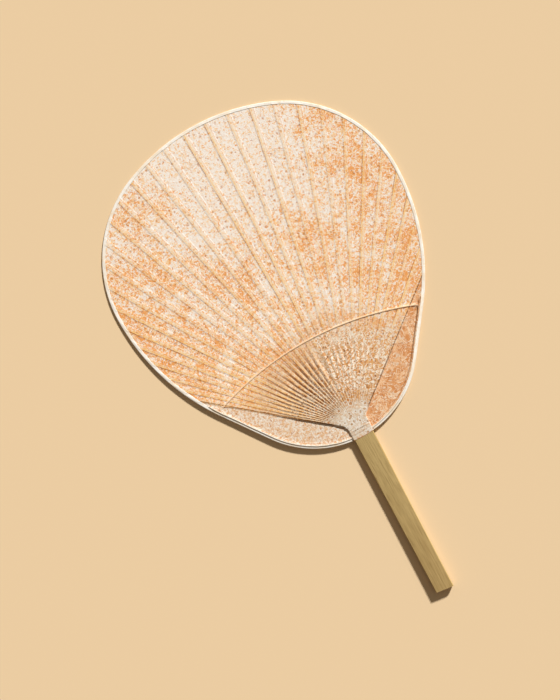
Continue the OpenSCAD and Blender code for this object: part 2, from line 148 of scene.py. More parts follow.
tie_right = tie_point(TIE_PAST_RIGHT)
tie_left = tie_point(TIE_PAST_LEFT) * [-1, 1]
chord = tie_right - tie_left
chord_l = math.hypot(*chord)
arc_axis = np.array([-chord[1], chord[0]]) / chord_l
arc_side = np.array([arc_axis[1], -arc_axis[0]])
arc_r = ((chord_l / 2) ** 2 + THREAD_RISE**2) / (2 * THREAD_RISE)
arc_c = (tie_left + tie_right) / 2 - arc_axis * (arc_r - THREAD_RISE)
tie_angle = math.asin(chord_l / 2 / arc_r)
knot_angle = tie_angle - (BOW_R + 0.7 * KNOT_R) / arc_r


def thread_at(a):
    a = np.asarray(a)[..., None]
    return arc_c + arc_r * (arc_axis * np.cos(a) + arc_side * np.sin(a))


bow_loop = outline(BOW_INSET)
above_tie = bow_loop[:, 1] - np.where(bow_loop[:, 0] > 0, tie_right[1], tie_left[1])
bow_line = bow_loop[above_tie < BOW_PAST_TIE]
bow_line = bow_line[np.argsort(np.arctan2(bow_line[:, 0], bottom_c[1] - bow_line[:, 1]))]


def rib_spread(k, n, span, bias):
    u = k / (n - 0.5)
    return span * u * (1 + bias * (1 - u))


rib_across = np.array(
    [-rib_spread(RIBS_LEFT - i - 0.5, RIBS_LEFT, chord_l / 2 - MARGIN_LEFT, BIAS_LEFT) for i in range(RIBS_LEFT)]
    + [rib_spread(i + 0.5, RIBS_RIGHT, chord_l / 2 - MARGIN_RIGHT, BIAS_RIGHT) for i in range(RIBS_RIGHT)])
rib_cross = thread_at(np.arcsin(rib_across / arc_r)) - FAN
rib_dir = np.arctan2(rib_cross[:, 0], rib_cross[:, 1])
rib_gap = np.gradient(rib_dir)
split_half = NECK_W / 2 - SPLIT_MARGIN
rib_root = np.array(
    [SPLIT_X - (RIBS_LEFT - i - 0.5) * (split_half + SPLIT_X) / RIBS_LEFT for i in range(RIBS_LEFT)]
    + [SPLIT_X + (i + 0.5) * (split_half - SPLIT_X) / RIBS_RIGHT for i in range(RIBS_RIGHT)])


def crown_z(x):
    return HANDLE_T - CROWN_R + np.sqrt(CROWN_R**2 - np.clip(x, -NECK_W, NECK_W) ** 2)


rib_w = 2 * (crown_z(rib_root) - FACE_Z - GAP)
rib_lean = np.where(np.arange(RIBS) < RIBS_LEFT, 1, -1)
flat_r = math.hypot(*(thread_at(0.0) - FAN)) - FLAT_BEFORE


def twist(r):
    return math.pi / 2 * (1 - smooth((r - BEND_R) / (flat_r - BEND_R)))


def rib_number(a):
    """The count of ribs from the left at a direction, with fractions between two ribs."""
    n = np.interp(a, rib_dir, np.arange(RIBS))
    n = np.where(a < rib_dir[0], (a - rib_dir[0]) / rib_gap[0], n)
    return np.where(a > rib_dir[-1], RIBS - 1 + (a - rib_dir[-1]) / rib_gap[-1], n)


# ---- How high the inside of a sheet of paper lies over the ribs, the thread, the bow and the neck ----

PASTED = 0.04
# How steeply a sheet falls beside a rib, near the neck and far from it, and beside the outermost ribs
FALL_NEAR, FALL_FAR, FALL_BESIDE = 0.24, 0.6, 2.4
FALL_FROM, FALL_OVER = 34, 44
# The same beside the neck, the thread and the bow, and what is left free over the ribs near the neck and the last two
FALL_NECK, FALL_THREAD, FALL_BOW = 2.6, 1.4, 1.25
RIB_SPARE, THREAD_SPARE, BOW_SPARE = 0.02, 0.09, 0.03
# The ribs leave the raised neck between these distances from the fan point
NECK_FULL, NECK_FAR = 14.5, 19.0
# They leave no relief in the paper from here to its edge
RIBS_END = 2.2


def from_fan(x, y):
    """Distance of places from the fan point, and their direction clockwise from straight up."""
    return np.hypot(x - FAN[0], y - FAN[1]), np.arctan2(x - FAN[0], y - FAN[1])


def in_handle(x, y):
    """A place in the leaning handle's own frame."""
    s, c = math.sin(HANDLE_LEAN), math.cos(HANDLE_LEAN)
    return (x - HANDLE_X) * c - y * s, (x - HANDLE_X) * s + y * c


def over_ribs(x, y, side):
    """Height of a sheet draped over the turning ribs. side is 1 for the front and -1 for the back."""
    r, a = from_fan(x, y)
    n = rib_number(a)
    outside = (n < 0) | (n > RIBS - 1)
    slope = np.where(outside, FALL_BESIDE, FALL_NEAR + (FALL_FAR - FALL_NEAR) * smooth((r - FALL_FROM) / FALL_OVER))
    height = np.full_like(x, -1.0)
    for step in (-1, 0, 1):
        i = np.clip(np.round(n).astype(int) + step, 0, RIBS - 1)
        off = r * np.sin(a - rib_dir[i])
        t = twist(np.maximum(r, BEND_R))
        lean = rib_lean[i] * side
        wide = np.array([-lean * np.cos(t), np.sin(t)]) * rib_w[i] / 2
        thick = np.array([-np.sin(t), -lean * np.cos(t)]) * RIB_T / 2
        corners = [wide + thick, wide - thick, -wide - thick, -wide + thick]
        for k in range(4):
            p, q = corners[k], corners[(k + 1) % 4]
            swap = p[0] > q[0]
            x0, z0 = np.where(swap, q[0], p[0]), np.where(swap, q[1], p[1])
            x1, z1 = np.where(swap, p[0], q[0]), np.where(swap, p[1], q[1])
            share = np.clip((off - x0) / np.maximum(x1 - x0, 1e-6), 0, 1)
            beyond = np.maximum(np.maximum(x0 - off, off - x1), 0)
            height = np.maximum(height, z0 + (z1 - z0) * share - slope * beyond)
    return np.where(r < BEND_R - 1.5, -1.0, height + RIB_SPARE * smooth((60 - r) / 10))


def polyline_distance(x, y, line):
    """Distance of points from an open line."""
    best = np.full(x.shape, 1e9)
    for a, b in zip(line[:-1], line[1:]):
        d = b - a
        t = np.clip(((x - a[0]) * d[0] + (y - a[1]) * d[1]) / max(d @ d, 1e-12), 0, 1)
        best = np.minimum(best, np.hypot(x - a[0] - t * d[0], y - a[1] - t * d[1]))
    return best


def neck_shape():
    """Outline of the raised neck: the strip's sides, then the outermost ribs as they bend away from it."""
    s, c = math.sin(HANDLE_LEAN), math.cos(HANDLE_LEAN)

    def place(px, py):
        return np.array([HANDLE_X + px * c + py * s, -px * s + py * c])

    sides = []
    for sign, i in ((-1, 0), (1, RIBS - 1)):
        way = np.array([math.sin(rib_dir[i]), math.cos(rib_dir[i])])
        root, end = place(sign * NECK_W / 2, SPLIT_Y), FAN + way * NECK_FAR
        near, pull = FAN + way * BEND_R, 3.5
        end = end + np.array([way[1], -way[0]]) * sign * RIB_T / 2
        near = near + np.array([way[1], -way[0]]) * sign * RIB_T / 2
        t = np.linspace(0, 1, 9)[:, None]
        bend = (root * (1 - t) ** 3 + (root + [0, pull]) * 3 * t * (1 - t) ** 2
                + (near - way * pull) * 3 * t * t * (1 - t) + near * t**3)
        flank = [place(sign * NECK_W / 2, v) for v in np.linspace(-2, SPLIT_Y, 12)[:-1]]
        sides.append(np.vstack([flank, bend, [end]]))
    turn = np.linspace(rib_dir[0], rib_dir[-1], 24)[1:-1]
    crown = FAN + NECK_FAR * np.column_stack([np.sin(turn), np.cos(turn)])
    return np.vstack([sides[0], crown, sides[1][::-1]])


neck_edge = neck_shape()
neck_reach = reach(neck_edge)


def from_neck(x, y):
    """Distance outside the raised neck, negative inside it."""
    loop = np.vstack([neck_edge, neck_edge[:1]])
    within = np.zeros(x.shape, bool)
    for a, b in zip(loop[:-1], loop[1:]):
        crosses = (a[1] > y) != (b[1] > y)
        dy = b[1] - a[1] if abs(b[1] - a[1]) > 1e-9 else 1e-9
        within ^= crosses & (x < (b[0] - a[0]) * (y - a[1]) / dy + a[0])
    d = polyline_distance(x, y, neck_edge)
    return np.where(within, -d, d)


def over_neck(x, y, side):
    """The front is crowned and has the node's ridge. The back is pared towards the neck."""
    hx, hy = in_handle(x, y)
    r, _ = from_fan(x, y)
    if side > 0:
        ridge = NODE_RISE * np.exp(-((hy - SPLIT_Y + 1.6) / 0.45) ** 2)
        depth = crown_z(np.clip(hx, -NECK_W / 2, NECK_W / 2)) - FACE_Z + GAP + ridge
    else:
        depth = FACE_Z - np.maximum(PARED_Z * (hy + PARING_L) / (SPLIT_Y + PARING_L), 0) + GAP
    half_neck = HANDLE_T - FACE_Z
    depth = np.where(hy > SPLIT_Y, half_neck, np.maximum(depth, 0))
    depth = depth * (1 - smooth((r - NECK_FULL) / (NECK_FAR - NECK_FULL)))
    return depth - FALL_NECK * np.maximum(from_neck(x, y), 0)


def over_thread(x, y):
    dx, dy = x - arc_c[0], y - arc_c[1]
    rad = np.hypot(dx, dy)
    a = np.arctan2(dx * arc_side[0] + dy * arc_side[1], dx * arc_axis[0] + dy * arc_axis[1])
    along = np.maximum(np.abs(a) - knot_angle, 0) * arc_r
    away = np.hypot(rad - arc_r, along)
    top = RIB_T / 2 + GAP + STRAND_D + THREAD_SPARE
    return top - FALL_THREAD * np.maximum(away - 0.6 * STRAND_D, 0), away


def over_bow(x, y):
    """The bow's round top, and from 0.6 mm beside its middle a straight slope."""
    d = polyline_distance(x, y, bow_line)
    height = np.sqrt(BOW_R**2 - np.minimum(d, 0.6) ** 2) + BOW_SPARE
    return height - FALL_BOW * np.maximum(d - 0.6, 0)


def lift(x, y, side):
    """Height of the sheet's inner face off the middle plane, and how near the thread is."""
    thread, thread_away = over_thread(x, y)
    ribs = over_ribs(x, y, side)
    r, a = from_fan(x, y)
    ribs = ribs + (PASTED - ribs) * smooth((r - edge_reach(a) + RIBS_END) / 1.4)
    height = np.maximum.reduce([np.full_like(x, PASTED), ribs, over_neck(x, y, side), thread, over_bow(x, y)])
    return height, thread_away


# ---- The two sheets: columns of points run out from the fan point, close together along each rib's edges ----

# How far apart rows lie where they are closest, and over what distance they come together
AT_THREAD, AT_EDGE, AT_WALL, AT_BEND = (0.24, 1.4), (0.35, 1.3), (0.16, 1.1), (0.5, 2.2)


def spread(way, close, share):
    """Places along a way, close together where close is high."""
    total = np.concatenate([[0], np.cumsum((close[1:] + close[:-1]) / 2)])
    return np.interp(share, total / total[-1], way)


def column_turns(r, fine):
    """Directions of all columns at distance r from the fan point."""
    steps = np.array([0.0, 0.95, 1.08, 1.3, 1.7] if fine else [0.0, 1.0, 1.35])
    turns = [rib_dir[0]]
    # They keep to a rib's edges where there is room between ribs, and lie evenly where there is none
    for i in range(RIBS):
        half = rib_w[i] / 2
        for sign in (-1, 1):
            if (i == 0 and sign < 0) or (i == RIBS - 1 and sign > 0):
                continue
            cell = abs(rib_dir[i + sign] - rib_dir[i]) / 2
            free = smooth((cell * r - 1.75 * half) / half)
            offs = half * steps / r
            even = cell * np.arange(len(steps)) / len(steps)
            part = offs * free + even * (1 - free)
            for v in (part[:0:-1] if sign < 0 else part[1:]):
                turns.append(rib_dir[i] + sign * v)
            if sign < 0:
                turns.append(rib_dir[i])
            if sign > 0 and i < RIBS - 1:
                turns.append((rib_dir[i] + rib_dir[i + 1]) / 2)
    beyond = [0.5, 0.85, 1.0, 1.12, 1.3, 1.6, 2.1, 2.8, 4.0] if fine else [0.6, 1.0, 1.2, 1.6, 2.4, 4.0]
    rest = 46 if fine else 34
    # Outside the outermost ribs they are close together by the rib and at the corner of neck and handle
    for sign, i in ((-1, 0), (1, RIBS - 1)):
        first = [rib_dir[i] + sign * min(s * rib_w[i] / 2 / r, 0.04 * (k + 1)) for k, s in enumerate(beyond)]
        way = np.linspace(first[-1], sign * math.pi, 400)
        corner = math.atan2(HANDLE_X + sign * NECK_W / 2 - FAN[0], -FAN[1])
        packed = 1 / (0.02 + 0.11 * np.minimum(np.abs(way - way[0]), 0.8))
        packed = packed + 60 * np.exp(-((way - corner) / 0.12) ** 2)
        extra = first + list(spread(way, packed, np.linspace(0, 1, rest + 2)[1:-1]))
        turns = list(reversed(extra)) + turns if sign < 0 else turns + extra
    return np.array(turns)


def crowd(out, at, spacing):
    """How many rows there are in a millimetre, round one distance."""
    step, width = spacing
    return np.exp(-((out - at) / width) ** 2) / step


def sheet_grid(rows, fine):
    """Points of a sheet in millimetres: one row of columns for each step out from the fan point."""
    count = len(column_turns(50.0, fine))
    share = np.linspace(0, 1, rows)
    held = reach(np.vstack([thread_at(np.linspace(-tie_angle, tie_angle, 200)), bow_loop[above_tie < 0]]))
    table = np.array([column_turns(r, fine) for r in np.linspace(1, 250, 500)])
    turns, r = np.tile(table[100], (rows, 1)), np.tile(np.linspace(0, 200, rows)[:, None], (1, count))
    probe = np.linspace(0, 1, 900)
    for _ in range(4):
        far, thread_far = edge_reach(turns), held(turns)
        meets = np.argmin(np.abs(r - thread_far), axis=0)
        r = np.zeros_like(turns)
        for c in range(count):
            limit, at = far[-1, c], thread_far[meets[c], c]
            out = probe * limit
            beside = abs(turns[rows // 2, c]) > rib_dir[-1] + 0.03
            close = crowd(out, at, AT_THREAD) + crowd(out, limit, AT_EDGE)
            if beside:
                wall = neck_reach(turns[rows // 8, c])
                close = close + 1 / np.where(out < 14, 0.8, 1.7) + crowd(out, wall + 0.2, AT_WALL)
            else:
                close = close + 1 / np.where(out < 70, 1.0, 2.4) + 0.2 * crowd(out, 9.2, AT_WALL)
                close = close + crowd(out, BEND_R + 0.5, AT_BEND)
            r[:, c] = spread(out, close, share)
        r = np.maximum(r, 0.3)
        place = np.clip((r - 1) / (249 / 499), 0, 498.999)
        low = place.astype(int)
        cols = np.arange(count)[None, :]
        turns = table[low, cols] * (1 - place + low) + table[low + 1, cols] * (place - low)
    r[-1] = edge_reach(turns[-1])
    return FAN[0] + r * np.sin(turns), FAN[1] + r * np.cos(turns), turns, r


def draped(x, y, side):
    """The heights at a grid's points, raised to clear all that lies between each point and its neighbours."""
    def between(v):
        wide = np.empty((v.shape[0], 2 * v.shape[1]))
        wide[:, ::2], wide[:, 1::2] = v, (v + np.roll(v, -1, 1)) / 2
        tall = np.empty((2 * v.shape[0] - 1, wide.shape[1]))
        tall[::2], tall[1::2] = wide, (wide[1:] + wide[:-1]) / 2
        return tall

    height, thread_away = lift(between(x), between(y), side)
    top = np.maximum.reduce([np.roll(height, k, 1) for k in (-1, 0, 1)])
    top[1:-1] = np.maximum.reduce([top[:-2], top[1:-1], top[2:]])
    return top[::2, ::2], thread_away[::2, ::2]


def add_object(name, data):
    piece = bpy.data.objects.new(name, data)
    bpy.context.scene.collection.objects.link(piece)
    return piece


def make_mesh(name, points, faces):
    mesh = bpy.data.meshes.new(name)
    mesh.from_pydata(points.tolist(), [], faces)
    mesh.update()
    return add_object(name, mesh)


def paint(piece, name, values):
    piece.data.attributes.new(name, "FLOAT", "POINT").data.foreach_set("value", np.ravel(values).astype(np.float32))


def washi_sheet(name, side, rows, fine):
    """A sheet drawn tight over what it covers, with its cut edge turned to the thickness of the paper."""
    x, y, turns, r = sheet_grid(rows, fine)
    height, thread_away = draped(x, y, side)
    z = FACE_Z + side * (height + PAPER_T)
    count = x.shape[1]
    x, y, z, turns, r, thread_away = (np.vstack([v, v[-1:]]) for v in (x, y, z, turns, r, thread_away))
    z[-1] -= side * PAPER_T
    points = np.vstack([metres(x, y, z), metres(FAN[0], FAN[1], z[0].mean())])
    faces = []
    for k in range(rows):
        for c in range(count):
            a, b = k * count + c, k * count + (c + 1) % count
            quad = (a, a + count, b + count, b)
            faces.append(quad[::-1] if side > 0 else quad)
    pole = points.shape[0] - 1
    for c in range(count):
        tri = (pole, c, (c + 1) % count)
        faces.append(tri[::-1] if side > 0 else tri)
    piece = make_mesh(name, points, faces)
    number = rib_number(turns)
    gap = np.interp(turns, rib_dir, rib_gap)
    beside = smooth((from_neck(x, y) - 0.1) / 0.8)
    # Minus one in the panel left of the ribs, one in the panel right of them and nought between
    window = np.where(number < 0, -smooth(-number * gap * r / 2.0), smooth((number - RIBS + 1) * gap * r / 2.0))
    window = window * np.where(r < 18, beside, 1)
    edge_away = np.minimum(edge_reach(turns) - r, 14)
    thin = smooth((edge_away - 8) / 4) * smooth((r - 12) / 10) * (0.25 + 0.75 * np.abs(window) * (window > 0))
    for label, values, at_pole in (
            ("rib_number", number, RIBS / 2), ("rib_pitch", gap * r, 0.1), ("from_fan", r, 0), ("window", window, 0),
            ("thread_away", np.minimum(thread_away, 20), 20), ("edge_away", edge_away, 12),
            ("bow_away", np.minimum(polyline_distance(x, y, bow_line), 10), 10), ("fibre_share", thin, 0)):
        paint(piece, label, np.append(np.ravel(values), at_pole))
    for f in piece.data.polygons:
        f.use_smooth = True
    return piece


# ---- Finishes ----

def srgb(r, g, b):
    def one(v):
        v /= 255
        return v / 12.92 if v <= 0.04045 else ((v + 0.055) / 1.055) ** 2.4
    return one(r), one(g), one(b), 1.0


class NodeBench:
    """Short ways to add and join the nodes of a tree."""

    def node(self, kind, **settings):
        n = self.tree.nodes.new(kind)
        for k, v in settings.items():
            setattr(n, k, v)
        return n

    def feed(self, socket, value):
        if isinstance(value, bpy.types.NodeSocket):
            self.tree.links.new(value, socket)
        else:
            socket.default_value = value

    def step(self, kind, out, sockets, **settings):
        """Adds a node, feeds its sockets by name or place, and gives one of its outputs."""
        n = self.node(kind, **settings)
        for k, v in sockets.items():
            self.feed(n.inputs[k], v)
        return n.outputs[out]

    def math(self, op, a, b=0.0):
        return self.step("ShaderNodeMath", 0, {0: a, 1: b}, operation=op)

    def mul(self, first, *rest):
        for v in rest:
            first = self.math("MULTIPLY", first, v)
        return first

    def add(self, first, *rest):
        for v in rest:
            first = self.math("ADD", first, v)
        return first

    def less(self, a, b):
        return self.math("SUBTRACT", a, b)

    def vector(self, op, a, b):
        return self.step("ShaderNodeVectorMath", 0, {0: a, "Scale" if op == "SCALE" else 1: b}, operation=op)

    def ramp(self, value, low, high, to_low=0.0, to_high=1.0):
        """A smooth way from to_low, where the value is low, to to_high, where it is high. High may be the less."""
        return self.step("ShaderNodeMapRange", "Result", {
            "Value": value, "From Min": low, "From Max": high, "To Min": to_low, "To Max": to_high},
            interpolation_type="SMOOTHSTEP")

    def noise(self, vector, scale, detail=3.0, rough=0.55, distort=0.0):
        return self.step("ShaderNodeTexNoise", "Fac", {
            "Vector": vector, "Scale": scale, "Detail": detail, "Roughness": rough, "Distortion": distort})

    def near_zero(self, value, fade, full):
        """One where a value lies within full of nought, and nothing from fade outwards."""
        return self.ramp(self.math("ABSOLUTE", value), fade, full)

    def blend(self, share, a, b, kind="MIX"):
        return self.step("ShaderNodeMix", 2, {0: share, 6: a, 7: b}, data_type="RGBA", blend_type=kind)

    def layers(self, base, *coats):
        """A colour with others laid over it. A coat is its shares, to be multiplied, and its colour."""
        for *shares, colour in coats:
            base = self.blend(self.mul(*shares), base, colour)
        return base

    def combine(self, x, y, z=0.0):
        return self.step("ShaderNodeCombineXYZ", 0, {0: x, 1: y, 2: z})

    def split(self, vector):
        n = self.node("ShaderNodeSeparateXYZ")
        self.feed(n.inputs[0], vector)
        return n.outputs


class Finish(NodeBench):
    """A material's nodes."""

    def __init__(self, name):
        self.material = bpy.data.materials.new(name)
        self.material.use_nodes = True
        self.tree = self.material.node_tree
        self.tree.nodes.clear()
        out = self.node("ShaderNodeOutputMaterial")
        self.shader = self.node("ShaderNodeBsdfPrincipled")
        self.tree.links.new(self.shader.outputs[0], out.inputs[0])

    def place(self, scale=(1, 1, 1), shift=(0, 0, 0), turn=0.0):
        """The place on the object in millimetres, scaled and turned."""
        return self.step("ShaderNodeMapping", 0, {
            "Vector": self.node("ShaderNodeTexCoord").outputs["Object"], "Scale": [1000 * s for s in scale],
            "Location": shift, "Rotation": (0, 0, turn)})

    def attribute(self, name):
        return self.node("ShaderNodeAttribute", attribute_name=name).outputs["Fac"]

    def spots(self, vector, size, radius, share=1.0, soft=0.05):
        """Round spots of many sizes, about size apart. Gives them, the distance from them and which are there."""
        n = self.node("ShaderNodeTexVoronoi", voronoi_dimensions="2D")
        self.feed(n.inputs["Vector"], vector)
        n.inputs["Scale"].default_value = 1 / size
        chance = self.split(n.outputs["Color"])
        beyond = self.less(n.outputs["Distance"], self.ramp(chance[1], 0, 1, 0.45 * radius, 1.25 * radius))
        taken = self.ramp(chance[0], share + 0.01, share - 0.01)
        return self.mul(self.ramp(beyond, soft, -soft), taken), beyond, taken

    def relief(self, height, distance, strength=1.0):
        bump = self.step("ShaderNodeBump", 0, {"Height": height, "Distance": distance, "Strength": strength})
        self.feed(self.shader.inputs["Normal"], bump)

    def finish(self, colour, rough, **more):
        self.feed(self.shader.inputs["Base Color"], colour)
        self.feed(self.shader.inputs["Roughness"], rough)
        for k, v in more.items():
            self.feed(self.shader.inputs[k.replace("_", " ")], v)
        return self.material


WHITE_FIBRE = srgb(250, 241, 231)
SHADED_FIBRE = srgb(230, 208, 182)
PEACH = srgb(246, 202, 148)
ORANGE = srgb(236, 156, 80)
BROWN = srgb(196, 122, 56)
DARK_BROWN = srgb(118, 68, 12)
TAN = srgb(194, 134, 70)
RIB_YELLOW = srgb(250, 206, 134)
CREAM = srgb(252, 234, 206)
PASTE_GREY = srgb(226, 215, 196)


def washi_finish(name):
    """Handmade paper opened into lace by drops of water, with warm fibres and the bamboo showing through."""
    f = Finish(name)
    add, less, mul, ramp = f.add, f.less, f.mul, f.ramp
    p, q = f.place(), f.place(shift=(37, 11, 5))
    place, r, window, edge_away = f.split(p), f.attribute("from_fan"), f.attribute("window"), f.attribute("edge_away")
    number, pitch = f.attribute("rib_number"), f.attribute("rib_pitch")
    nearest = f.math("MINIMUM", f.math("MAXIMUM", f.math("ROUND", number), 0.0), RIBS - 1.0)
    off = mul(less(number, nearest), pitch)
    half = ramp(r, BEND_R, flat_r, 0.22, 1.4)
    near, on_left, inside = ramp(r, 88, 36), ramp(number, 19, 12), f.near_zero(window, 0.9, 0.5)
    past_bend = ramp(r, 13, 20)

    cloud = f.noise(p, 1 / 24, 4, 0.6, 0.4)
    patch = f.noise(q, 1 / 7, 3, 0.6, 0.6)
    grain = f.noise(p, 1 / 1.45, 2, 0.6, 0.3)
    flecks = f.noise(q, 1 / 1.7, 2, 0.55, 0.5)
    fine = f.noise(q, 1 / 0.8, 2, 0.6)
    lace = f.near_zero(less(f.noise(q, 1 / 3.4, 1, 0.5, 0.6), 0.5), 0.045, 0.015)
    lace = mul(lace, ramp(fine, 0.36, 0.5))
    curl = f.near_zero(less(f.noise(p, 1 / 2.9, 1, 0.5, 1.2), 0.5), 0.085, 0.04)
    curl = mul(curl, ramp(fine, 0.34, 0.46))
    small, _, _ = f.spots(p, 3.4, 0.21, 0.37, 0.08)
    pits, _, _ = f.spots(q, 2.3, 0.26, 0.7, 0.08)
    holes, beyond, some = f.spots(q, 3.9, 0.22, 0.8, 0.08)
    ring = mul(ramp(beyond, 0.0, 0.06), ramp(beyond, 0.2, 0.1), some)

    # Pale pulp with peach and orange speckle, warmer towards the neck and the sides, palest at the top; the right side
    # is a little darker still, as painted shade
    outer = add(ramp(f.math("ABSOLUTE", place[0]), 35, 100, 0.0, 0.07), ramp(place[0], 40, 95, 0.0, 0.02))
    top = mul(ramp(r, 140, 205, 0.0, 0.12), ramp(place[0], 75, 30), ramp(place[0], -50, -5))
    inner = add(ramp(r, 225, 120, 0.0, 0.06), ramp(r, 120, 50, 0.0, 0.04))
    warm = add(mul(cloud, 0.52), mul(patch, 0.42), inner, less(outer, top), -0.49)
    warm = f.math("MAXIMUM", warm, -0.045)
    colour = f.layers(
        WHITE_FIBRE,
        (ramp(fine, 0.48, 0.54, 0.0, 0.85), SHADED_FIBRE),
        (ramp(add(grain, mul(warm, 0.8)), 0.485, 0.545, 0.0, 0.95), PEACH),
        (ramp(add(flecks, mul(warm, 0.95)), 0.555, 0.62, 0.0, 0.9), ORANGE),
        (ramp(add(fine, mul(warm, -0.4)), 0.55, 0.62, 0.0, 0.85), WHITE_FIBRE),
        (small, ramp(fine, 0.35, 0.6, 0.3, 0.8), BROWN),
        (lace, 0.7, WHITE_FIBRE))

    # The nearer the neck, the more of the tan underside shows
    stain = mul(near, ramp(add(grain, mul(warm, -0.6)), 0.58, 0.46))
    colour = f.blend(mul(stain, ramp(on_left, 0, 1, 0.75, 1.0)), colour, TAN)

    # Drawn tight over a rib, the paper shows a yellow band with a broken dark line along each edge, partly the
    # bamboo's edge and partly painted shade, and a painted highlight; it is darker towards the neck
    on_right = mul(ramp(number, 13, 17), ramp(add(r, mul(patch, 40)), 112, 82), ramp(r, 22, 30))
    keen = ramp(f.noise(f.combine(mul(nearest, 3.7), 0.0), 1.0, 0), 0.35, 0.65, 0.35, 1.0)
    broken = ramp(f.noise(f.combine(mul(nearest, 5.1), mul(r, 0.07)), 1.0, 2), 0.4, 0.6, 0.15, 1.0)
    band = mul(ramp(less(f.math("ABSOLUTE", off), half), 0.2, -0.3), inside, ramp(r, 12, 30))
    yellow = mul(f.near_zero(add(off, half, -0.75), 0.5, 0.2), inside, keen)
    # Left half near the neck: there the edge lines are painted darker, as the tall blades' shadows
    keel = mul(near, on_left)
    # Painted highlight: a cream line along each rib's top on the side towards the lamp
    rib_highlight = f.near_zero(less(off, mul(half, 0.3)), f.math("MINIMUM", mul(pitch, 0.22), 0.5), 0.15)
    rib_highlight = mul(rib_highlight, inside, ramp(fine, 0.66, 0.5, 0.5, 1.0), add(mul(keel, 0.7), 0.25))
    wide = f.math("MINIMUM", add(mul(keel, 0.24), 0.38), mul(pitch, 0.19))
    # Dark line on each rib's left side: partly its edge, partly painted shade, weaker on the right half
    left_edge_line_and_shade = mul(f.near_zero(add(off, half, 0.1), wide, mul(wide, 0.4)), inside, past_bend)
    left_edge_line_and_shade = mul(left_edge_line_and_shade, add(mul(keel, 0.55), mul(keen, broken, 0.8)), ramp(on_right, 0, 1, 1.0, 0.45),
                ramp(fine, 0.4, 0.52, 0.55, 1.0))
    # Dark line on each rib's right side: its edge, and painted blade shadow near the neck on the left half
    right_edge_line_and_shade = mul(f.near_zero(less(off, add(half, 0.1)), wide, mul(wide, 0.4)), inside, past_bend)
    right_edge_line_and_shade = mul(right_edge_line_and_shade, add(mul(keel, 0.85), mul(broken, 0.3)), ramp(on_right, 0, 1, 1.0, 0.4))
    mottle = mul(keel, ramp(add(patch, mul(fine, 0.6)), 0.86, 0.96), 0.5)
    colour = f.layers(
        colour,
        (band, keen, ramp(grain, 0.6, 0.42, 0.0, 0.38), RIB_YELLOW),
        (yellow, ramp(grain, 0.6, 0.45, 0.25, 0.95), RIB_YELLOW),
        (rib_highlight, CREAM),
        (left_edge_line_and_shade, f.blend(keel, srgb(170, 98, 36), DARK_BROWN)),
        (right_edge_line_and_shade, f.blend(keel, BROWN, srgb(138, 76, 22))),
        (mottle, SHADED_FIBRE))
    colour = f.blend(mul(near, inside, 0.9), colour, srgb(235, 219, 197), "MULTIPLY")

    # Round the neck the drops were large: brown holes, pale rings and curls of fibre, most of them on the right
    zone = mul(ramp(add(r, mul(patch, 30)), 72, 46), f.near_zero(window, 0.5, 0.2))
    on_right = mul(on_right, inside)
    torn = mul(keel, inside, ramp(patch, 0.46, 0.56))
    colour = f.layers(
        colour,
        (lace, zone, 0.65, PASTE_GREY),
        (ring, zone, 0.65, PASTE_GREY),
        (holes, zone, ramp(patch, 0.35, 0.6, 0.3, 0.85), BROWN),
        (on_right, ramp(grain, 0.4, 0.55, 0.1, 0.6), srgb(218, 158, 98)),
        (pits, on_right, ramp(fine, 0.35, 0.55, 0.3, 0.9), srgb(144, 80, 26)),
        (curl, on_right, 0.92, srgb(244, 232, 212)),
        (pits, torn, 0.7, DARK_BROWN),
        (curl, torn, 0.6, srgb(236, 214, 182)))

    # On the neck itself there is greyish paste, a crease over the node and a brown hem at the handle
    grey = f.layers(
        PASTE_GREY,
        (ramp(grain, 0.42, 0.6), srgb(214, 180, 146)),
        (holes, 0.8, srgb(178, 138, 94)),
        (ring, 0.8, srgb(234, 228, 218)),
        (lace, 0.8, srgb(238, 232, 222)))
    crease = add(place[1], mul(place[0], math.tan(HANDLE_LEAN)), MIDDLE_Y - SPLIT_Y + 1.6)
    crease = mul(f.near_zero(crease, 0.5, 0.15), f.near_zero(place[0], 5.5, 4.5), ramp(r, 9, 7))
    hem = mul(ramp(edge_away, 0.9, 0.1), f.near_zero(place[0], 7.6, 7.0), ramp(r, 12, 10))
    colour = f.layers(
        colour,
        (ramp(add(r, mul(patch, 14)), 30, 22), 0.85, grey),
        (crease, ramp(grain, 0.4, 0.5, 0.2, 0.7), srgb(140, 108, 74)),
        (hem, ramp(grain, 0.35, 0.55, 0.2, 0.9), BROWN))

    # Beside the neck the two sheets are pasted to each other: swirling fibres right, pale flecks left
    swirl = f.math("SINE", mul(f.noise(q, 1 / 11, 2, 0.5, 1.0), 62.0))
    right = f.layers(
        srgb(240, 190, 142),
        (ramp(add(patch, mul(grain, 0.5)), 0.6, 0.85), srgb(216, 144, 84)),
        (ramp(swirl, 0.3, 0.8), ramp(fine, 0.4, 0.5), 0.9, srgb(248, 222, 190)),
        (ramp(f.noise(q, 1 / 3.2, 2), 0.6, 0.68), 0.7, SHADED_FIBRE),
        (ramp(flecks, 0.57, 0.66), 0.7, srgb(188, 112, 54)))
    left = f.layers(
        srgb(240, 226, 206),
        (ramp(grain, 0.42, 0.58), srgb(226, 180, 134)),
        (ramp(flecks, 0.56, 0.68), 0.8, srgb(184, 118, 70)),
        (ramp(swirl, 0.6, 0.95), 0.45, WHITE_FIBRE))
